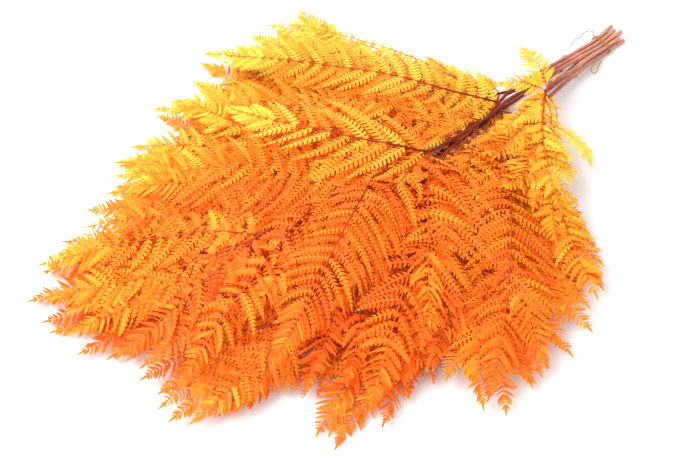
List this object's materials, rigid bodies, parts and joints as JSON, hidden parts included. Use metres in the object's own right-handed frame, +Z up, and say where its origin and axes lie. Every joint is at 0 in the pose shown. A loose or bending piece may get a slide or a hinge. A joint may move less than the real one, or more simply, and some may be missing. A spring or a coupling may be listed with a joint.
{
  "type": "tied bunch of bracken fronds",
  "caption": "Bunch of dyed, dried bracken fronds tied with twine at the stalks, lying flat in a low fanned heap.",
  "frame": {"origin": "on the surface the bunch lies on, under the middle of its bounding box", "axes": "+X along the bunch towards the cut stalk ends, +Z up from the surface"},
  "size_m": [0.7146, 0.545, 0.0851],
  "materials": {
    "foliage": "matte dyed dried leaf",
    "stalks": "satin dried stalk",
    "twine": "rough twisted fibre"
  },
  "bodies": {
    "root": {"frond_1": "foliage", "frond_2": "foliage", "frond_3": "foliage", "frond_4": "foliage", "frond_5": "foliage", "frond_6": "foliage", "frond_7": "foliage", "frond_8": "foliage", "frond_9": "foliage", "stem_1": "stalks", "stem_2": "stalks", "stem_3": "stalks", "stem_4": "stalks", "stem_5": "stalks", "stem_6": "stalks", "stem_7": "stalks", "stem_8": "stalks", "stem_9": "stalks", "twine": "twine"}
  },
  "joints": []
}
